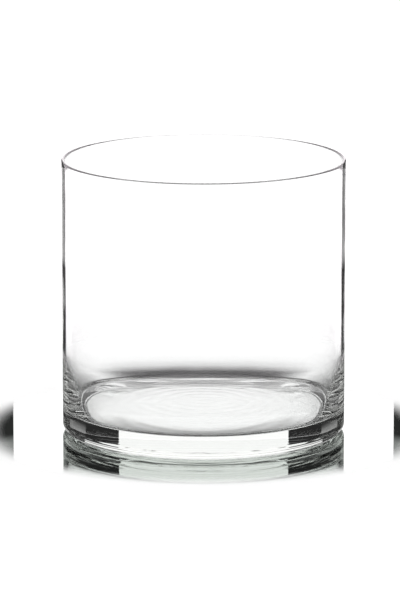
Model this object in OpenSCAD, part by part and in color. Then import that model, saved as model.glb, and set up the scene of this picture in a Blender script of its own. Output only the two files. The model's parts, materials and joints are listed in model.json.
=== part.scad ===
// Cylinder vase, blown as one piece of clear glass with a solid base.
// The origin is the centre of the resting face. +Z is up, through the open mouth.

/* [Body] */
// Outside diameter of the cylinder
outer_diameter = 150; // [90:1:300]
// Height from the resting face to the top of the rim
vase_height = 146; // [90:1:400]
// Thickness of the straight upper wall
wall_thickness = 1.8; // [1.2:0.1:4]

/* [Lower wall] */
// Height above the resting face where the wall starts to thicken downwards
taper_start = 45; // [40:1:85]
// Radius of the long arc that the inside of the lower wall follows
taper_radius = 140; // [120:1:400]
// Radius of the inside corner where the wall runs out into the floor
corner_radius = 3; // [2:0.5:9]

/* [Base] */
// Thickness of the solid base below the flat floor
base_thickness = 12; // [8:0.5:25]
// Radius of the rounded outside edge that the vase stands inside
heel_radius = 4.5; // [2:0.5:7]
// Width of the flat ring that the vase stands on
ring_width = 4.5; // [3:0.5:16]
// Rise of the shallow hollow underneath
underside_rise = 0.5; // [0.3:0.1:3]
// Width of the slope between the resting ring and the top of the hollow
underside_slope = 20; // [4:1:20]

/* [Hidden] */
facets = 180;
$fn = facets;

glass_colour = [0.86, 0.92, 0.90, 0.35];

outer_radius = outer_diameter / 2;
bore_radius = outer_radius - wall_thickness;
rim_radius = wall_thickness / 2;
hollow_radius = outer_radius - heel_radius - ring_width;

// The lower wall follows one long arc, tangent to the straight bore at taper_start.
taper_centre = [bore_radius - taper_radius, taper_start];

// The corner arc touches the floor below it and the long arc beside it.
corner_drop = taper_start - base_thickness - corner_radius;
corner_reach = sqrt(pow(taper_radius - corner_radius, 2) - pow(corner_drop, 2));
corner_centre = [taper_centre[0] + corner_reach, base_thickness + corner_radius];

// A point well inside the wall's glass, on the line through the centres of the two arcs.
reach_past_arc = 1.1;
beyond_wall = taper_centre + (corner_centre - taper_centre) * reach_past_arc;

// Half of the solid block, before it is hollowed: a rounded heel and a rounded rim.
module outer_outline() {
    translate([0, heel_radius])
        square([outer_radius, vase_height - heel_radius - rim_radius]);
    square([outer_radius - heel_radius, heel_radius]);
    translate([outer_radius - heel_radius, heel_radius])
        circle(heel_radius);
}

// Half of the space inside the vase, from the flat floor to above the rim.
module cavity_outline() {
    // straight bore
    translate([0, taper_start])
        square([bore_radius, vase_height - taper_start]);
    // the middle of the cavity, over the flat floor
    translate([0, base_thickness])
        square([corner_centre[0], vase_height - base_thickness]);
    // rounded corner
    translate(corner_centre)
        circle(corner_radius);
    // the tapering stretch between the corner and the bore
    intersection() {
        translate(taper_centre)
            circle(taper_radius);
        polygon([
            corner_centre,
            beyond_wall,
            [beyond_wall[0], taper_start],
            [corner_centre[0], taper_start],
        ]);
    }
}

// Half of the shallow hollow that leaves only the outer ring touching the table.
module underside_outline() {
    polygon([
        [0, 0],
        [hollow_radius, 0],
        [hollow_radius - underside_slope, underside_rise],
        [0, underside_rise],
    ]);
}

module glass_vase() {
    color(glass_colour)
        rotate_extrude() {
            difference() {
                outer_outline();
                cavity_outline();
                underside_outline();
            }
            // fire-polished lip, a full round on top of the wall
            translate([outer_radius - rim_radius, vase_height - rim_radius])
                circle(rim_radius);
        }
}

glass_vase();
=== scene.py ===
"""A clear glass cylinder vase, blown in one piece with a solid base, standing on a pale glossy table."""

import json
import math

import bpy
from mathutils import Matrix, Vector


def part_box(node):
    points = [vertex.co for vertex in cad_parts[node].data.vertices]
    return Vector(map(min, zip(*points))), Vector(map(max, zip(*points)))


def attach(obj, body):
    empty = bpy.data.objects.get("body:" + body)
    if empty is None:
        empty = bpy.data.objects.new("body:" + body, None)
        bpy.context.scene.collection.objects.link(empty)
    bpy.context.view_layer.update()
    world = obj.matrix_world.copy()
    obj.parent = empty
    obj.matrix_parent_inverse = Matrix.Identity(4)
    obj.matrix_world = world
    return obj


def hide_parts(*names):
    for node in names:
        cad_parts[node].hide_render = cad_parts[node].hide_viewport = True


MM = 0.001
VASE_NODE = "glass_vase"

# The lathe outline, in metres. Height, diameter and bore come from the frame.
TAPER_START = 45 * MM
TAPER_RADIUS = 140 * MM
CORNER_RADIUS = 3 * MM
BASE_THICKNESS = 12 * MM
HEEL_RADIUS = 4.5 * MM
RING_WIDTH = 4.5 * MM
UNDERSIDE_RISE = 0.5 * MM
UNDERSIDE_SLOPE = 20 * MM

# How finely each stretch of the outline is cut.
RING_STEPS = 6
HEEL_STEPS = 14
LOW_WALL_STEPS = 24
WALL_STEPS = 40
RIM_STEPS = 16
TAPER_STEPS = 30
CORNER_STEPS = 18
FLOOR_STEPS = 90
UNDERSIDE_STEPS = 24
TURN_STEPS = 288
SAME_POINT = 0.001 * MM
WELD_DISTANCE = 0.01 * MM

# Marks that the making leaves in the glass: faint rings on the floor where the gather was turned, a wall
# that wanders a little on the inside, and small chill wrinkles low on the outside where the glass met the
# cold mould.
RIPPLE_DEPTH = 0.02 * MM
RIPPLE_SPACING = 7.5 * MM
WAVE_DEPTH = 0.12 * MM
WAVE_SIZE = 28 * MM
WRINKLE_DEPTH = 0.07 * MM
WRINKLE_SIZE = 5 * MM
WRINKLE_TOP = 15 * MM
SEED = 7
NOISE_MIDDLE = 0.5
GRID_SIZE = 1

# The glass, with a faint green tint and a polish that varies a little.
GLASS_IOR = 1.52
GLASS_GREEN = (0.72, 0.745, 0.69, 1)
GLASS_DENSITY = 2.0
POLISH_LOW = 0.0
POLISH_HIGH = 0.02
POLISH_SIZE = 12 * MM
SKIN_DEPTH = 0.002 * MM

# The camera, a long lens a few steps back, looking slightly down. Its lens and sensor are in millimetres
# and its pitch is in degrees.
CAMERA_DISTANCE = 2.23
CAMERA_HEIGHT = 0.54
CAMERA_LENS = 258
CAMERA_PITCH = 11.91
CAMERA_SIDE = -1.9 * MM
SENSOR_WIDTH = 36

WHITE = (1, 1, 1, 1)

# The table: matte white, with a polished patch around the vase. A bounced ray sees a wider patch than the
# camera does.
TABLE_REACH = 30
TABLE_DROP = 0.02 * MM
TABLE_WHITE = (0.99, 0.99, 0.99, 1)
GLOSS_COLOUR = (0.66, 0.70, 0.67, 1)
GLOSS_THROUGH = (0.95, 0.96, 0.955, 1)
GLOSS_ROUGHNESS = 0.02
GLOSS_NEAR = 0.105
GLOSS_FAR = 0.125
GLOSS_NEAR_THROUGH = 0.17
GLOSS_FAR_THROUGH = 0.3

# A shading sheet on the table behind the vase, seen only by light that has crossed the glass four times,
# which is in and out through the near wall and in and out through the far one. Its clearness is given by
# distance from the vase's axis in metres, in the middle of the back and at the sides. The two blend between
# two angles off the line to the back, in degrees.
# The sheet is painted shade: the table looks darker close round the vase, most of all straight behind it,
# but only to light seen through the glass.
SHEET_NEAR = 0.076
SHEET_FAR = 0.166
SHEET_LIFT = 0.05 * MM
SHEET_STEPS = 96
SHEET_MIDDLE = (
    (0.076, 0.05), (0.113, 0.1), (0.116, 0.3), (0.119, 0.5), (0.127, 0.79), (0.14, 0.93), (0.166, 1.0)
)
SHEET_SIDES = ((0.076, 0.85), (0.1, 0.95), (0.108, 1.0))
SHEET_MIDDLE_END = 18
SHEET_SIDES_START = 38
WALL_CROSSINGS = 4

# The light: an even white surround, and cards around the vase. A card's light is given by elevation in
# degrees, and its start and end by the angle off the line to the back. The flags are the pair close to the
# vase, and the polished table mirrors them too.
WORLD_STRENGTH = 1.15
CARD_STEPS = 12
CARD_TOP = 40
BACK_LIGHT = ((0, 1.0), (20, 1.0), (24, 0.8), (28, 0.35), (34, 0.04))
SIDE_LIGHT = ((0, 1.0), (6.8, 1.0), (9.6, 0.4), (11.9, 0.02))
FLAG_LIGHT = ((0, 0.03), (12.8, 0.03), (14, 0.28), (17, 0.22), (20, 0.16), (40, 0.16))
STRAIGHT_BACK = 0
STRAIGHT_FRONT = 180
BACK_DISTANCE = 5.0
SIDE_DISTANCE = 1.0
SIDE_START = 24.5
FLAG_DISTANCE = 0.22
FLAG_START = 30
FLAG_END = 47

# A dark card overhead, seen only by light that has crossed the glass four times. Its back and front edges
# are given by elevation in degrees.
OVERHEAD_HEIGHT = 1.2
OVERHEAD_BACK = 46
OVERHEAD_FRONT = 70
OVERHEAD_REACH = 0.9
OVERHEAD_LIGHT = 0.01

BOUNCES = 32

# Bounces and crossings are whole counts, so half a count below a number means "at least that many". Light
# off the table alone has bounced once, and light through the glass at least twice.
HALF_COUNT = 0.5
FIRST_BOUNCE = 1
SECOND_BOUNCE = 2


def point_on_circle(centre, radius, degrees):
    angle = math.radians(degrees)
    return (centre[0] + radius * math.cos(angle), centre[1] + radius * math.sin(angle))


def arc(centre, radius, start, end, steps):
    """Points along an arc, from the start angle to the end angle in degrees."""
    return [point_on_circle(centre, radius, start + (end - start) * i / steps) for i in range(steps + 1)]


def line(start, end, steps):
    return [
        (start[0] + (end[0] - start[0]) * i / steps, start[1] + (end[1] - start[1]) * i / steps)
        for i in range(steps + 1)
    ]


def smooth_rise(start, end, steps):
    """Points from start to end along a slope that is level at both ends."""
    points = []
    for i in range(steps + 1):
        share = i / steps
        ease = share * share * (3 - 2 * share)
        points.append((start[0] + (end[0] - start[0]) * share, start[1] + (end[1] - start[1]) * ease))
    return points


def rippled_floor(radius):
    """The floor's line from its edge to the axis, with shallow rings that die out at both ends."""
    points = []
    for distance, height in line((radius, BASE_THICKNESS), (0, BASE_THICKNESS), FLOOR_STEPS):
        fade = math.sin(math.pi * distance / radius)
        ring = math.cos(2 * math.pi * distance / RIPPLE_SPACING)
        points.append((distance, height + RIPPLE_DEPTH * fade * ring))
    return points


def vase_outline(outer_radius, height, bore_radius):
    """Half of the section as (radius, height) points, from the axis underneath to the axis on the floor."""
    rim_radius = (outer_radius - bore_radius) / 2
    hollow_radius = outer_radius - HEEL_RADIUS - RING_WIDTH
    hollow_top = hollow_radius - UNDERSIDE_SLOPE
    taper_centre = (bore_radius - TAPER_RADIUS, TAPER_START)
    drop = TAPER_START - BASE_THICKNESS - CORNER_RADIUS
    reach = math.sqrt((TAPER_RADIUS - CORNER_RADIUS) ** 2 - drop**2)
    corner_centre = (taper_centre[0] + reach, BASE_THICKNESS + CORNER_RADIUS)
    meeting_angle = -math.degrees(math.atan2(drop, reach))
    heel_centre = (outer_radius - HEEL_RADIUS, HEEL_RADIUS)
    rim_centre = (outer_radius - rim_radius, height - rim_radius)

    stretches = [
        line((0, UNDERSIDE_RISE), (hollow_top, UNDERSIDE_RISE), UNDERSIDE_STEPS),
        smooth_rise((hollow_top, UNDERSIDE_RISE), (hollow_radius, 0), UNDERSIDE_STEPS),
        line((hollow_radius, 0), (heel_centre[0], 0), RING_STEPS),
        arc(heel_centre, HEEL_RADIUS, -90, 0, HEEL_STEPS),
        line((outer_radius, HEEL_RADIUS), (outer_radius, WRINKLE_TOP), LOW_WALL_STEPS),
        line((outer_radius, WRINKLE_TOP), (outer_radius, rim_centre[1]), WALL_STEPS),
        arc(rim_centre, rim_radius, 0, 180, RIM_STEPS),
        line((bore_radius, rim_centre[1]), (bore_radius, TAPER_START), WALL_STEPS),
        arc(taper_centre, TAPER_RADIUS, 0, meeting_angle, TAPER_STEPS),
        arc(corner_centre, CORNER_RADIUS, meeting_angle, -90, CORNER_STEPS),
        rippled_floor(corner_centre[0]),
    ]
    outline = []
    for stretch in stretches:
        for point in stretch:
            if not outline or math.dist(point, outline[-1]) > SAME_POINT:
                outline.append(point)
    return outline


def wave_share(radius, height, outer_radius):
    """Share of the inside wall's waviness that a point gets: none on the outside and on the floor."""
    if radius > outer_radius - SAME_POINT or height < BASE_THICKNESS + CORNER_RADIUS:
        return 0
    above_corner = (height - BASE_THICKNESS - CORNER_RADIUS) / CORNER_RADIUS
    return min(1, above_corner)


def wrinkle_share(radius, height, outer_radius):
    """Share of the wrinkles' depth that a point gets: most just above the heel, and none higher up."""
    if radius < outer_radius - HEEL_RADIUS or height > WRINKLE_TOP:
        return 0
    return min(1, height / HEEL_RADIUS) * (1 - height / WRINKLE_TOP)


def outline_mesh(points, rim_height):
    """The outline as a chain of edges, with what the lathe needs to know about each point stored on it."""
    outer_radius = max(radius for radius, height in points)
    mesh = bpy.data.meshes.new("vase_outline")
    vertices = [(radius, 0, height) for radius, height in points]
    edges = [(i, i + 1) for i in range(len(points) - 1)]
    mesh.from_pydata(vertices, edges, [])
    waves = mesh.attributes.new("wave_share", "FLOAT", "POINT")
    wrinkles = mesh.attributes.new("wrinkle_share", "FLOAT", "POINT")
    for i, (radius, height) in enumerate(points):
        below_rim = height < rim_height
        waves.data[i].value = wave_share(radius, height, outer_radius) if below_rim else 0
        wrinkles.data[i].value = wrinkle_share(radius, height, outer_radius)
    return mesh


def clear_glass():
    """Clear soda glass, faintly green in the thick, polished but not perfectly so."""
    material = bpy.data.materials.new("clear_glass")
    material.use_nodes = True
    nodes = material.node_tree.nodes
    links = material.node_tree.links
    shader = nodes["Principled BSDF"]
    shader.inputs["Base Color"].default_value = WHITE
    shader.inputs["IOR"].default_value = GLASS_IOR
    shader.inputs["Transmission Weight"].default_value = 1

    where = nodes.new("ShaderNodeTexCoord")
    polish = nodes.new("ShaderNodeTexNoise")
    polish.inputs["Scale"].default_value = 1 / POLISH_SIZE
    links.new(where.outputs["Object"], polish.inputs["Vector"])
    roughness = nodes.new("ShaderNodeMapRange")
    roughness.inputs["To Min"].default_value = POLISH_LOW
    roughness.inputs["To Max"].default_value = POLISH_HIGH
    links.new(polish.outputs["Fac"], roughness.inputs["Value"])
    links.new(roughness.outputs["Result"], shader.inputs["Roughness"])
    skin = nodes.new("ShaderNodeBump")
    skin.inputs["Distance"].default_value = SKIN_DEPTH
    links.new(polish.outputs["Fac"], skin.inputs["Height"])
    links.new(skin.outputs["Normal"], shader.inputs["Normal"])

    volume = nodes.new("ShaderNodeVolumeAbsorption")
    volume.inputs["Color"].default_value = GLASS_GREEN
    volume.inputs["Density"].default_value = GLASS_DENSITY
    links.new(volume.outputs["Volume"], nodes["Material Output"].inputs["Volume"])
    return material


def put(tree, value, socket):
    """Feed a socket from another node's output, or set it to a plain value."""
    if isinstance(value, bpy.types.NodeSocket):
        tree.links.new(value, socket)
    else:
        socket.default_value = value


def math_node(tree, operation, first, second=0):
    node = tree.nodes.new("ShaderNodeMath")
    node.operation = operation
    put(tree, first, node.inputs[0])
    put(tree, second, node.inputs[1])
    return node.outputs[0]


def sampled(tree, outline, value, kind, index):
    """A value of the outline's own point at this index."""
    node = tree.nodes.new("GeometryNodeSampleIndex")
    node.data_type = kind
    node.domain = "POINT"
    put(tree, outline, node.inputs["Geometry"])
    put(tree, value, node.inputs["Value"])
    put(tree, index, node.inputs["Index"])
    return node.outputs["Value"]


def sampled_share(tree, outline, name, index):
    node = tree.nodes.new("GeometryNodeInputNamedAttribute")
    node.data_type = "FLOAT"
    node.inputs["Name"].default_value = name
    return sampled(tree, outline, node.outputs["Attribute"], "FLOAT", index)


def noise(tree, place, size, seed):
    """Noise between 0 and 1 with features of this size."""
    node = tree.nodes.new("ShaderNodeTexNoise")
    node.noise_dimensions = "4D"
    put(tree, place, node.inputs["Vector"])
    put(tree, seed, node.inputs["W"])
    put(tree, math_node(tree, "DIVIDE", 1, size), node.inputs["Scale"])
    return node.outputs["Fac"]


def lathe_tree(material):
    """Turn the outline around +Z, with the wall's waves and wrinkles, as one closed smooth mesh."""
    tree = bpy.data.node_groups.new("vase_lathe", "GeometryNodeTree")
    tree.interface.new_socket("Geometry", in_out="INPUT", socket_type="NodeSocketGeometry")
    for name in ("Outline Points", "Turn Steps"):
        tree.interface.new_socket(name, in_out="INPUT", socket_type="NodeSocketInt")
    for name in ("Wave Depth", "Wave Size", "Wrinkle Depth", "Wrinkle Size", "Seed"):
        tree.interface.new_socket(name, in_out="INPUT", socket_type="NodeSocketFloat")
    tree.interface.new_socket("Geometry", in_out="OUTPUT", socket_type="NodeSocketGeometry")
    nodes = tree.nodes
    links = tree.links
    given = nodes.new("NodeGroupInput").outputs
    outline = given["Geometry"]

    grid = nodes.new("GeometryNodeMeshGrid")
    grid.inputs["Size X"].default_value = GRID_SIZE
    grid.inputs["Size Y"].default_value = GRID_SIZE
    put(tree, given["Outline Points"], grid.inputs["Vertices X"])
    put(tree, math_node(tree, "ADD", given["Turn Steps"], 1), grid.inputs["Vertices Y"])
    grid_place = nodes.new("ShaderNodeSeparateXYZ")
    put(tree, nodes.new("GeometryNodeInputPosition").outputs[0], grid_place.inputs[0])

    # each row of the grid stands for one point of the outline, and each column for one angle
    row = math_node(tree, "ADD", grid_place.outputs["X"], GRID_SIZE / 2)
    last_point = math_node(tree, "SUBTRACT", given["Outline Points"], 1)
    index = math_node(tree, "ROUND", math_node(tree, "MULTIPLY", row, last_point))
    turn = math_node(tree, "ADD", grid_place.outputs["Y"], GRID_SIZE / 2)
    angle = math_node(tree, "MULTIPLY", turn, 2 * math.pi)

    outline_place = nodes.new("ShaderNodeSeparateXYZ")
    outline_position = nodes.new("GeometryNodeInputPosition").outputs[0]
    put(tree, sampled(tree, outline, outline_position, "FLOAT_VECTOR", index), outline_place.inputs[0])
    outward = nodes.new("ShaderNodeCombineXYZ")
    put(tree, math_node(tree, "COSINE", angle), outward.inputs["X"])
    put(tree, math_node(tree, "SINE", angle), outward.inputs["Y"])
    upward = nodes.new("ShaderNodeCombineXYZ")
    put(tree, outline_place.outputs["Z"], upward.inputs["Z"])

    def at_radius(radius):
        around = nodes.new("ShaderNodeVectorMath")
        around.operation = "SCALE"
        put(tree, outward.outputs[0], around.inputs[0])
        put(tree, radius, around.inputs["Scale"])
        whole = nodes.new("ShaderNodeVectorMath")
        put(tree, around.outputs[0], whole.inputs[0])
        put(tree, upward.outputs[0], whole.inputs[1])
        return whole.outputs[0]

    # waves move the inside wall either way, and wrinkles only ever cut into the outside
    plain_place = at_radius(outline_place.outputs["X"])
    wave_noise = noise(tree, plain_place, given["Wave Size"], given["Seed"])
    wave = math_node(tree, "SUBTRACT", wave_noise, NOISE_MIDDLE)
    wave_cut = sampled_share(tree, outline, "wave_share", index)
    wave_depth = math_node(tree, "MULTIPLY", given["Wave Depth"], wave_cut)
    wrinkle = noise(tree, plain_place, given["Wrinkle Size"], given["Seed"])
    wrinkle_cut = sampled_share(tree, outline, "wrinkle_share", index)
    wrinkle_depth = math_node(tree, "MULTIPLY", given["Wrinkle Depth"], wrinkle_cut)
    wave_shift = math_node(tree, "MULTIPLY", wave, wave_depth)
    waved_radius = math_node(tree, "ADD", outline_place.outputs["X"], wave_shift)
    wrinkle_shift = math_node(tree, "MULTIPLY", wrinkle, wrinkle_depth)
    radius = math_node(tree, "SUBTRACT", waved_radius, wrinkle_shift)

    turned = nodes.new("GeometryNodeSetPosition")
    put(tree, grid.outputs["Mesh"], turned.inputs["Geometry"])
    put(tree, at_radius(radius), turned.inputs["Position"])
    merged = nodes.new("GeometryNodeMergeByDistance")
    merged.inputs["Distance"].default_value = WELD_DISTANCE
    put(tree, turned.outputs["Geometry"], merged.inputs["Geometry"])
    outside_out = nodes.new("GeometryNodeFlipFaces")
    put(tree, merged.outputs["Geometry"], outside_out.inputs["Mesh"])
    smooth = nodes.new("GeometryNodeSetShadeSmooth")
    put(tree, outside_out.outputs["Mesh"], smooth.inputs["Geometry"])
    realized = nodes.new("GeometryNodeRealizeInstances")
    put(tree, smooth.outputs["Geometry"], realized.inputs["Geometry"])
    painted = nodes.new("GeometryNodeSetMaterial")
    painted.inputs["Material"].default_value = material
    put(tree, realized.outputs["Geometry"], painted.inputs["Geometry"])
    links.new(painted.outputs["Geometry"], nodes.new("NodeGroupOutput").inputs["Geometry"])
    return tree


def make_vase(frame):
    low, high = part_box(VASE_NODE)
    outer_radius = (high.x - low.x) / 2
    mounts = {mount["name"]: mount for mount in frame["record"]["mounts"]}
    bore_radius = mounts["mouth_bore"]["dims"]["r_mm"] * MM
    points = vase_outline(outer_radius, high.z, bore_radius)
    rim_height = high.z - (outer_radius - bore_radius) / 2
    lathe = bpy.data.objects.new("vase_lathe", outline_mesh(points, rim_height))
    bpy.context.scene.collection.objects.link(lathe)
    tree = lathe_tree(clear_glass())
    modifier = lathe.modifiers.new("lathe", "NODES")
    modifier.node_group = tree
    values = {
        "Outline Points": len(points),
        "Turn Steps": TURN_STEPS,
        "Wave Depth": WAVE_DEPTH,
        "Wave Size": WAVE_SIZE,
        "Wrinkle Depth": WRINKLE_DEPTH,
        "Wrinkle Size": WRINKLE_SIZE,
        "Seed": float(SEED),
    }
    for socket in tree.interface.items_tree:
        if socket.in_out == "INPUT" and socket.name in values:
            modifier[socket.identifier] = values[socket.name]
    evaluated = lathe.evaluated_get(bpy.context.evaluated_depsgraph_get())
    mesh = bpy.data.meshes.new_from_object(evaluated)
    lathe.modifiers.remove(modifier)
    bpy.data.objects.remove(lathe)
    vase = bpy.data.objects.new("vase_glass", mesh)
    bpy.context.scene.collection.objects.link(vase)
    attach(vase, "root")
    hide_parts(VASE_NODE)
    return vase


def after_bounces(material, bounces):
    """A socket that is 1 where the light path has bounced at least that often, and 0 before."""
    path = material.node_tree.nodes.new("ShaderNodeLightPath")
    return math_node(material.node_tree, "GREATER_THAN", path.outputs["Ray Depth"], bounces - HALF_COUNT)


def ramp(tree, value, top, stops):
    """Colour ramp from (value, light) stops, over values from 0 to the top."""
    share = math_node(tree, "DIVIDE", value, top)
    node = tree.nodes.new("ShaderNodeValToRGB")
    put(tree, share, node.inputs[0])
    elements = node.color_ramp.elements
    for i, (at, light) in enumerate(stops):
        element = elements[i] if i < len(elements) else elements.new(1)
        element.position = min(1, at / top)
        element.color = (light, light, light, 1)
    return node.outputs["Color"]


def fade_out(tree, value, near, far):
    """1 up to near, falling smoothly to 0 at far."""
    node = tree.nodes.new("ShaderNodeMapRange")
    node.interpolation_type = "SMOOTHSTEP"
    node.inputs["From Min"].default_value = near
    node.inputs["From Max"].default_value = far
    node.inputs["To Min"].default_value = 1
    node.inputs["To Max"].default_value = 0
    put(tree, value, node.inputs["Value"])
    return node.outputs["Result"]


def mixed(tree, kind, share, first, second):
    """A blend of two values or two colours."""
    node = tree.nodes.new("ShaderNodeMix")
    node.data_type = kind
    active = [socket for socket in node.inputs if socket.enabled]
    put(tree, share, active[0])
    put(tree, first, active[1])
    put(tree, second, active[2])
    return [socket for socket in node.outputs if socket.enabled][0]


def table_material():
    """White table with a polished patch. Light that has met the vase sees a wider patch."""
    material = bpy.data.materials.new("pale_table")
    material.use_nodes = True
    tree = material.node_tree
    nodes = tree.nodes
    nodes.remove(nodes["Principled BSDF"])
    matte = nodes.new("ShaderNodeBsdfDiffuse")
    matte.inputs["Color"].default_value = TABLE_WHITE
    gloss = nodes.new("ShaderNodeBsdfGlossy")
    gloss.inputs["Roughness"].default_value = GLOSS_ROUGHNESS

    length = nodes.new("ShaderNodeVectorMath")
    length.operation = "LENGTH"
    put(tree, nodes.new("ShaderNodeTexCoord").outputs["Object"], length.inputs[0])
    distance = length.outputs["Value"]
    bounced = after_bounces(material, FIRST_BOUNCE)
    seen = fade_out(tree, distance, GLOSS_NEAR, GLOSS_FAR)
    seen_through = fade_out(tree, distance, GLOSS_NEAR_THROUGH, GLOSS_FAR_THROUGH)
    put(tree, mixed(tree, "RGBA", bounced, GLOSS_COLOUR, GLOSS_THROUGH), gloss.inputs["Color"])

    blend = nodes.new("ShaderNodeMixShader")
    put(tree, mixed(tree, "FLOAT", bounced, seen, seen_through), blend.inputs[0])
    put(tree, matte.outputs[0], blend.inputs[1])
    put(tree, gloss.outputs[0], blend.inputs[2])
    put(tree, blend.outputs[0], nodes["Material Output"].inputs["Surface"])
    return material


def make_table():
    mesh = bpy.data.meshes.new("table")
    corners = [(x * TABLE_REACH, y * TABLE_REACH, 0) for x, y in ((-1, -1), (1, -1), (1, 1), (-1, 1))]
    mesh.from_pydata(corners, [], [(0, 1, 2, 3)])
    mesh.materials.append(table_material())
    table = bpy.data.objects.new("table", mesh)
    table.location.z = -TABLE_DROP
    bpy.context.scene.collection.objects.link(table)


def make_world():
    """The same white from everywhere. Where it is mirrored once outside the glass, it makes up for the tint
    of the table's gloss, so that the polished patch is as white as the rest. Sampling the world as a light
    would add noise and nothing else."""
    world = bpy.data.worlds.new("white_studio")
    bpy.context.scene.world = world
    world.use_nodes = True
    background = world.node_tree.nodes["Background"]
    background.inputs["Strength"].default_value = WORLD_STRENGTH
    tree = world.node_tree
    path = tree.nodes.new("ShaderNodeLightPath")
    mirrored_once = math_node(tree, "COMPARE", path.outputs["Glossy Depth"], FIRST_BOUNCE)
    outside_glass = math_node(tree, "LESS_THAN", path.outputs["Transmission Depth"], HALF_COUNT)
    off_the_table = math_node(tree, "MULTIPLY", mirrored_once, outside_glass)
    evened = [1 / channel for channel in GLOSS_COLOUR]
    put(tree, mixed(tree, "RGBA", off_the_table, WHITE, evened), background.inputs["Color"])
    world.cycles.sampling_method = "NONE"


def card_height(distance, elevation):
    return distance * math.tan(math.radians(elevation))


def after_crossings(material, crossings):
    """A socket that is 1 where the light path has gone into or out of the glass at least that often."""
    tree = material.node_tree
    path = tree.nodes.new("ShaderNodeLightPath")
    return math_node(tree, "GREATER_THAN", path.outputs["Transmission Depth"], crossings - HALF_COUNT)


def show_where(material, shown, surface):
    """Let a surface show where the socket is 1, and be perfectly clear where it is 0."""
    tree = material.node_tree
    nodes = tree.nodes
    blend = nodes.new("ShaderNodeMixShader")
    put(tree, shown, blend.inputs[0])
    put(tree, nodes.new("ShaderNodeBsdfTransparent").outputs[0], blend.inputs[1])
    put(tree, surface, blend.inputs[2])
    put(tree, blend.outputs[0], nodes["Material Output"].inputs["Surface"])


def card_material(name, distance, light_by_elevation, seen_by):
    """Card that glows as its height says, and that is clear to light outside what the given rule picks."""
    material = bpy.data.materials.new(name)
    material.use_nodes = True
    tree = material.node_tree
    nodes = tree.nodes
    nodes.remove(nodes["Principled BSDF"])
    place = nodes.new("ShaderNodeSeparateXYZ")
    put(tree, nodes.new("ShaderNodeTexCoord").outputs["Object"], place.inputs[0])
    stops = [(card_height(distance, elevation), light) for elevation, light in light_by_elevation]
    glow = nodes.new("ShaderNodeEmission")
    glow.inputs["Strength"].default_value = WORLD_STRENGTH
    put(tree, ramp(tree, place.outputs["Z"], card_height(distance, CARD_TOP), stops), glow.inputs["Color"])
    show_where(material, seen_by(material), glow.outputs[0])
    return material


def met_the_vase(material):
    return after_bounces(material, SECOND_BOUNCE)


def met_only_the_near_wall(material):
    """Any bounce will do, one off the table too, but not a path that has gone through the near wall and on
    into the glass behind it."""
    crossed = after_crossings(material, WALL_CROSSINGS)
    return math_node(material.node_tree, "SUBTRACT", after_bounces(material, FIRST_BOUNCE), crossed)


def hang_on(rig, name, points, faces, material):
    """Put a card or a sheet on the rig, unseen by the camera, by matte surfaces and by shadows."""
    mesh = bpy.data.meshes.new(name)
    mesh.from_pydata(points, [], faces)
    mesh.materials.append(material)
    card = bpy.data.objects.new(name, mesh)
    bpy.context.scene.collection.objects.link(card)
    card.parent = rig
    card.visible_camera = False
    card.visible_diffuse = False
    card.visible_shadow = False


def add_card(rig, name, distance, start, end, light_by_elevation, seen_by):
    """A pair of upright curved cards, left and right, from start to end angle off the line to the back."""
    material = card_material(name, distance, light_by_elevation, seen_by)
    for side, side_name in ((-1, "left"), (1, "right")):
        points = []
        faces = []
        for i in range(CARD_STEPS + 1):
            angle = math.radians(start + (end - start) * i / CARD_STEPS)
            x = side * distance * math.sin(angle)
            y = distance * math.cos(angle)
            points += [(x, y, 0), (x, y, card_height(distance, CARD_TOP))]
            if i:
                faces.append((2 * i - 2, 2 * i, 2 * i + 1, 2 * i - 1))
        hang_on(rig, f"{name}_{side_name}", points, faces, material)


def add_overhead(rig):
    material = bpy.data.materials.new("overhead_card")
    material.use_nodes = True
    nodes = material.node_tree.nodes
    nodes.remove(nodes["Principled BSDF"])
    glow = nodes.new("ShaderNodeEmission")
    glow.inputs["Strength"].default_value = OVERHEAD_LIGHT
    show_where(material, after_crossings(material, WALL_CROSSINGS), glow.outputs[0])
    near = -OVERHEAD_HEIGHT / math.tan(math.radians(OVERHEAD_FRONT))
    far = OVERHEAD_HEIGHT / math.tan(math.radians(OVERHEAD_BACK))
    left = -OVERHEAD_REACH
    right = OVERHEAD_REACH
    corners = ((left, near), (right, near), (right, far), (left, far))
    points = [(x, y, OVERHEAD_HEIGHT) for x, y in corners]
    hang_on(rig, "overhead_card", points, [(0, 1, 2, 3)], material)


# Painted shade: a grey ring on the table round the vase, darkest straight behind it, seen only through the
# glass.
def sheet_material():
    """Clear sheet that darkens with its own coordinates, the camera's side of the vase being its -Y."""
    material = bpy.data.materials.new("shading_sheet")
    material.use_nodes = True
    tree = material.node_tree
    nodes = tree.nodes
    nodes.remove(nodes["Principled BSDF"])
    place = nodes.new("ShaderNodeTexCoord").outputs["Object"]
    length = nodes.new("ShaderNodeVectorMath")
    length.operation = "LENGTH"
    put(tree, place, length.inputs[0])
    distance = length.outputs["Value"]
    split = nodes.new("ShaderNodeSeparateXYZ")
    put(tree, place, split.inputs[0])
    sideways = math_node(tree, "ABSOLUTE", math_node(tree, "DIVIDE", split.outputs["X"], distance))
    middle_end = math.sin(math.radians(SHEET_MIDDLE_END))
    sides_start = math.sin(math.radians(SHEET_SIDES_START))
    middle = fade_out(tree, sideways, middle_end, sides_start)
    side_shade = ramp(tree, distance, SHEET_FAR, SHEET_SIDES)
    middle_shade = ramp(tree, distance, SHEET_FAR, SHEET_MIDDLE)
    shade = mixed(tree, "RGBA", middle, side_shade, middle_shade)
    tinted = nodes.new("ShaderNodeBsdfTransparent")
    put(tree, shade, tinted.inputs["Color"])
    show_where(material, after_crossings(material, WALL_CROSSINGS), tinted.outputs[0])
    return material


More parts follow.
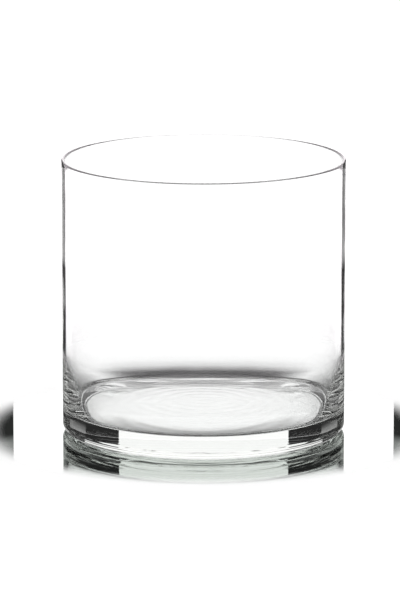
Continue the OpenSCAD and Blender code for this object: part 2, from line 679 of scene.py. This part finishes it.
def add_sheet(rig):
    points = []
    faces = []
    for i in range(SHEET_STEPS + 1):
        angle = math.pi * i / SHEET_STEPS
        across = math.cos(angle)
        back = math.sin(angle)
        points += [(radius * across, radius * back, SHEET_LIFT) for radius in (SHEET_NEAR, SHEET_FAR)]
        if i:
            faces.append((2 * i - 2, 2 * i - 1, 2 * i + 1, 2 * i))
    hang_on(rig, "shading_sheet", points, faces, sheet_material())


def make_cards(camera):
    """Cards that give the glass its dark outline and its grey. They turn with the camera, as if the vase
    were on a turntable in front of a fixed camera and fixed cards."""
    rig = bpy.data.objects.new("card_rig", None)
    bpy.context.scene.collection.objects.link(rig)
    facing = rig.constraints.new("LOCKED_TRACK")
    facing.target = camera
    facing.track_axis = "TRACK_NEGATIVE_Y"
    facing.lock_axis = "LOCK_Z"
    add_card(rig, "back_card", BACK_DISTANCE, STRAIGHT_BACK, SIDE_START, BACK_LIGHT, met_the_vase)
    add_card(rig, "side_card", SIDE_DISTANCE, SIDE_START, STRAIGHT_FRONT, SIDE_LIGHT, met_the_vase)
    add_card(rig, "flag", FLAG_DISTANCE, FLAG_START, FLAG_END, FLAG_LIGHT, met_only_the_near_wall)
    add_overhead(rig)
    add_sheet(rig)


def make_camera():
    data = bpy.data.cameras.new("camera")
    data.sensor_width = SENSOR_WIDTH
    data.lens = CAMERA_LENS
    camera = bpy.data.objects.new("camera", data)
    bpy.context.scene.collection.objects.link(camera)
    camera.location = (CAMERA_SIDE, -CAMERA_DISTANCE, CAMERA_HEIGHT)
    camera.rotation_euler = (math.radians(90 - CAMERA_PITCH), 0, 0)
    bpy.context.scene.camera = camera
    return camera


with open("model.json") as file:
    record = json.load(file)
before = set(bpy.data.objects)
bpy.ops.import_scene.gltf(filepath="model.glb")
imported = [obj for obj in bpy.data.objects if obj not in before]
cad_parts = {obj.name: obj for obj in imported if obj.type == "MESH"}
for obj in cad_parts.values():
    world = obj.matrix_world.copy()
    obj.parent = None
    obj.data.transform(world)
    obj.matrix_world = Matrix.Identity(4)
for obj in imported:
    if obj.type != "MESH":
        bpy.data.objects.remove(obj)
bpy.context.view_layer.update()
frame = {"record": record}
camera = make_camera()
make_world()
make_table()
make_cards(camera)
make_vase(frame)
scene = bpy.context.scene
scene.view_settings.view_transform = "Standard"
scene.cycles.max_bounces = BOUNCES
scene.cycles.glossy_bounces = BOUNCES
scene.cycles.transmission_bounces = BOUNCES
